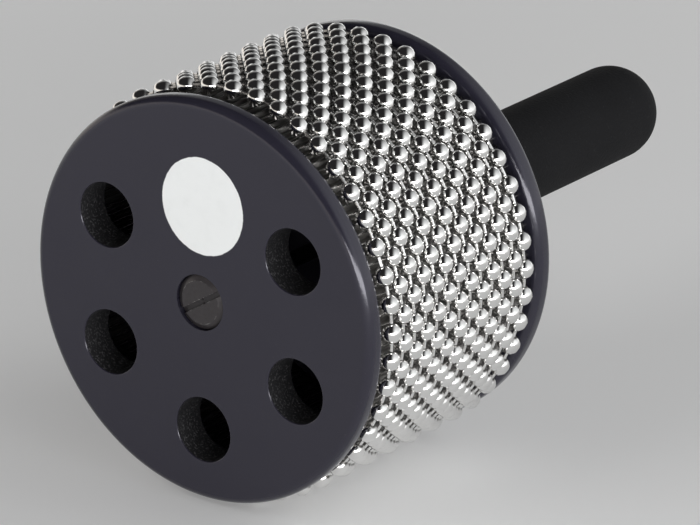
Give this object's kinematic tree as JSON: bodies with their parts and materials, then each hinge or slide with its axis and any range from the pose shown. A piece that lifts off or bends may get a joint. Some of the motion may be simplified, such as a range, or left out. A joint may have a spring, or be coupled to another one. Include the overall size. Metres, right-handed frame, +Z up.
{
  "type": "cabasa",
  "caption": "Cabasa: loops of ball chain turn on a ribbed steel drum held between round end discs, with a straight foam-covered handle.",
  "frame": {"origin": "on the table under the middle of the whole instrument, which lies on its side on its bead loops", "axes": "+Y along the instrument's axis from the front disc to the handle's domed end, +Z up, +X to the right seen from the front"},
  "size_m": [0.118, 0.204, 0.118],
  "materials": {
    "disc_lacquer": "satin black lacquer on fibreboard",
    "drum_steel": "bright ribbed sheet",
    "bead_nickel": "bright nickel plate",
    "pin_nickel": "bright nickel plate",
    "bolt_black": "black oxide, worn at the slot",
    "core_wood": "bare hardwood",
    "insert_brass": "plain",
    "grip_foam": "matte closed-cell foam"
  },
  "bodies": {
    "drum": {"front_disc": "disc_lacquer", "rear_disc": "disc_lacquer", "ribbed_sleeve": "drum_steel", "tie_bolt": "bolt_black", "handle_core": "core_wood", "threaded_insert": "insert_brass", "foam_grip": "grip_foam"},
    "loop_01": {"bead_loop_01": "bead_nickel", "link_pins_01": "pin_nickel"},
    "loop_02": {"bead_loop_02": "bead_nickel", "link_pins_02": "pin_nickel"},
    "loop_03": {"bead_loop_03": "bead_nickel", "link_pins_03": "pin_nickel"},
    "loop_04": {"bead_loop_04": "bead_nickel", "link_pins_04": "pin_nickel"},
    "loop_05": {"bead_loop_05": "bead_nickel", "link_pins_05": "pin_nickel"},
    "loop_06": {"bead_loop_06": "bead_nickel", "link_pins_06": "pin_nickel"},
    "loop_07": {"bead_loop_07": "bead_nickel", "link_pins_07": "pin_nickel"},
    "loop_08": {"bead_loop_08": "bead_nickel", "link_pins_08": "pin_nickel"},
    "loop_09": {"bead_loop_09": "bead_nickel", "link_pins_09": "pin_nickel"},
    "loop_10": {"bead_loop_10": "bead_nickel", "link_pins_10": "pin_nickel"},
    "loop_11": {"bead_loop_11": "bead_nickel", "link_pins_11": "pin_nickel"},
    "loop_12": {"bead_loop_12": "bead_nickel", "link_pins_12": "pin_nickel"},
    "loop_13": {"bead_loop_13": "bead_nickel", "link_pins_13": "pin_nickel"}
  },
  "joints": [
    {"name": "loop_01_turn", "type": "hinge", "parent": "drum", "child": "loop_01", "pos_m": [0, -0.10197, 0.059], "axis": [0, 1, 0], "continuous": true},
    {"name": "loop_02_turn", "type": "hinge", "parent": "drum", "child": "loop_02", "pos_m": [0, -0.10197, 0.059], "axis": [0, 1, 0], "continuous": true},
    {"name": "loop_03_turn", "type": "hinge", "parent": "drum", "child": "loop_03", "pos_m": [0, -0.10197, 0.059], "axis": [0, 1, 0], "continuous": true},
    {"name": "loop_04_turn", "type": "hinge", "parent": "drum", "child": "loop_04", "pos_m": [0, -0.10197, 0.059], "axis": [0, 1, 0], "continuous": true},
    {"name": "loop_05_turn", "type": "hinge", "parent": "drum", "child": "loop_05", "pos_m": [0, -0.10197, 0.059], "axis": [0, 1, 0], "continuous": true},
    {"name": "loop_06_turn", "type": "hinge", "parent": "drum", "child": "loop_06", "pos_m": [0, -0.10197, 0.059], "axis": [0, 1, 0], "continuous": true},
    {"name": "loop_07_turn", "type": "hinge", "parent": "drum", "child": "loop_07", "pos_m": [0, -0.10197, 0.059], "axis": [0, 1, 0], "continuous": true},
    {"name": "loop_08_turn", "type": "hinge", "parent": "drum", "child": "loop_08", "pos_m": [0, -0.10197, 0.059], "axis": [0, 1, 0], "continuous": true},
    {"name": "loop_09_turn", "type": "hinge", "parent": "drum", "child": "loop_09", "pos_m": [0, -0.10197, 0.059], "axis": [0, 1, 0], "continuous": true},
    {"name": "loop_10_turn", "type": "hinge", "parent": "drum", "child": "loop_10", "pos_m": [0, -0.10197, 0.059], "axis": [0, 1, 0], "continuous": true},
    {"name": "loop_11_turn", "type": "hinge", "parent": "drum", "child": "loop_11", "pos_m": [0, -0.10197, 0.059], "axis": [0, 1, 0], "continuous": true},
    {"name": "loop_12_turn", "type": "hinge", "parent": "drum", "child": "loop_12", "pos_m": [0, -0.10197, 0.059], "axis": [0, 1, 0], "continuous": true},
    {"name": "loop_13_turn", "type": "hinge", "parent": "drum", "child": "loop_13", "pos_m": [0, -0.10197, 0.059], "axis": [0, 1, 0], "continuous": true}
  ],
  "couplings": [
    {"joint": "loop_02_turn", "follows": "loop_01_turn", "ratio": 1},
    {"joint": "loop_03_turn", "follows": "loop_01_turn", "ratio": 1},
    {"joint": "loop_04_turn", "follows": "loop_01_turn", "ratio": 1},
    {"joint": "loop_05_turn", "follows": "loop_01_turn", "ratio": 1},
    {"joint": "loop_06_turn", "follows": "loop_01_turn", "ratio": 1},
    {"joint": "loop_07_turn", "follows": "loop_01_turn", "ratio": 1},
    {"joint": "loop_08_turn", "follows": "loop_01_turn", "ratio": 1},
    {"joint": "loop_09_turn", "follows": "loop_01_turn", "ratio": 1},
    {"joint": "loop_10_turn", "follows": "loop_01_turn", "ratio": 1},
    {"joint": "loop_11_turn", "follows": "loop_01_turn", "ratio": 1},
    {"joint": "loop_12_turn", "follows": "loop_01_turn", "ratio": 1},
    {"joint": "loop_13_turn", "follows": "loop_01_turn", "ratio": 1}
  ]
}
